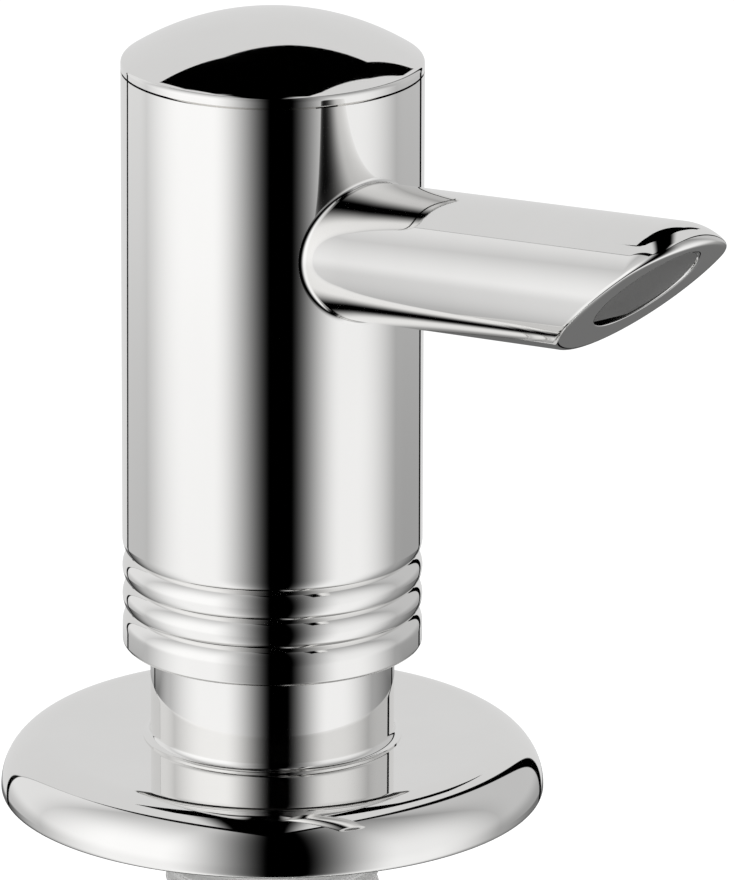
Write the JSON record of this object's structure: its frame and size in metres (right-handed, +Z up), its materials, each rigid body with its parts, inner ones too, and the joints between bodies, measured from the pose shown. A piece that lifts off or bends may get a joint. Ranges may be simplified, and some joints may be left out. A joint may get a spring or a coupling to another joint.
{
  "type": "deck-mounted soap dispenser",
  "caption": "Deck-mounted soap dispenser: press head with a swivel spout on a round flange, with a lift-out pump, threaded shank, clamp nut and screw-on bottle under the deck.",
  "frame": {"origin": "on the head's axis, in the plane of the flange's underside, where the part stands on the deck", "axes": "+Z up along the head's axis, +X below the spout, towards its outlet"},
  "size_m": [0.1087, 0.068, 0.241],
  "materials": {
    "chrome": "polished chrome plate",
    "insert_grey": "fine satin moulding",
    "seal_rubber": "matt black rubber",
    "steel": "bright washer steel",
    "nut_plastic": "moulded, off-white",
    "bottle_plastic": "translucent natural polyethylene",
    "pump_plastic": "moulded, white",
    "bush_plastic": "moulded, black",
    "tube_plastic": "clear-white extruded tube",
    "spring_steel": "drawn stainless wire",
    "ball_steel": "ground stainless ball"
  },
  "bodies": {
    "deck_unit": {"base_flange": "chrome", "deck_seal": "seal_rubber", "guide_neck": "chrome", "threaded_shank": "pump_plastic"},
    "clamp_washers": {"rubber_washer": "seal_rubber", "clamp_washer": "steel"},
    "clamp_nut": {"mounting_nut": "nut_plastic"},
    "bottle_carrier": {"bottle_gasket": "seal_rubber"},
    "reservoir": {"bottle": "bottle_plastic"},
    "pump_unit": {"pump_collar": "pump_plastic", "collar_o_ring": "seal_rubber", "stem_wiper": "seal_rubber", "pump_cylinder": "pump_plastic", "ball_cage": "nut_plastic", "dip_tube": "tube_plastic", "return_spring": "spring_steel"},
    "inlet_valve": {"inlet_ball": "ball_steel"},
    "plunger": {"piston_stem": "pump_plastic", "piston": "nut_plastic", "piston_seal": "seal_rubber", "stem_o_ring": "seal_rubber"},
    "outlet_valve": {"outlet_ball": "ball_steel"},
    "press_head": {"head_shell": "chrome", "guide_bush": "bush_plastic", "spout_hub": "pump_plastic", "spout": "chrome", "delivery_tube": "tube_plastic", "outlet_insert": "insert_grey", "top_cap": "chrome", "cap_o_ring": "seal_rubber"}
  },
  "joints": [
    {"name": "pump_lift", "type": "slide", "parent": "deck_unit", "child": "pump_unit", "axis": [0, 0, 1], "range_m": [0, 0.186]},
    {"name": "head_press", "type": "slide", "parent": "pump_unit", "child": "plunger", "axis": [0, 0, 1], "range_m": [-0.0095, 0], "stiffness_N_per_m": 800, "springref_m": 0.008, "deforming": ["return_spring"]},
    {"name": "head_swivel", "type": "hinge", "parent": "plunger", "child": "press_head", "pos_m": [0, 0, 0.06], "axis": [0, 0, 1], "continuous": true},
    {"name": "inlet_ball_lift", "type": "slide", "parent": "pump_unit", "child": "inlet_valve", "axis": [0, 0, 1], "range_m": [0, 0.0012]},
    {"name": "outlet_ball_lift", "type": "slide", "parent": "plunger", "child": "outlet_valve", "axis": [0, 0, 1], "range_m": [0, 0.0012]},
    {"name": "clamp_travel", "type": "slide", "parent": "deck_unit", "child": "clamp_washers", "axis": [0, 0, 1], "range_m": [-0.005, 0.018]},
    {"name": "nut_turn", "type": "hinge", "parent": "clamp_washers", "child": "clamp_nut", "pos_m": [0, 0, -0.0275], "axis": [0, 0, 1], "range_deg": [-900, 3240]},
    {"name": "bottle_drop", "type": "slide", "parent": "deck_unit", "child": "bottle_carrier", "axis": [0, 0, 1], "range_m": [-0.013, 0]},
    {"name": "bottle_turn", "type": "hinge", "parent": "bottle_carrier", "child": "reservoir", "pos_m": [0, 0, -0.045], "axis": [0, 0, 1], "range_deg": [-2340, 0]}
  ],
  "couplings": [
    {"joint": "nut_turn", "follows": "clamp_travel", "rad_per_m": 3141.6},
    {"joint": "bottle_turn", "follows": "bottle_drop", "rad_per_m": 3141.6}
  ]
}
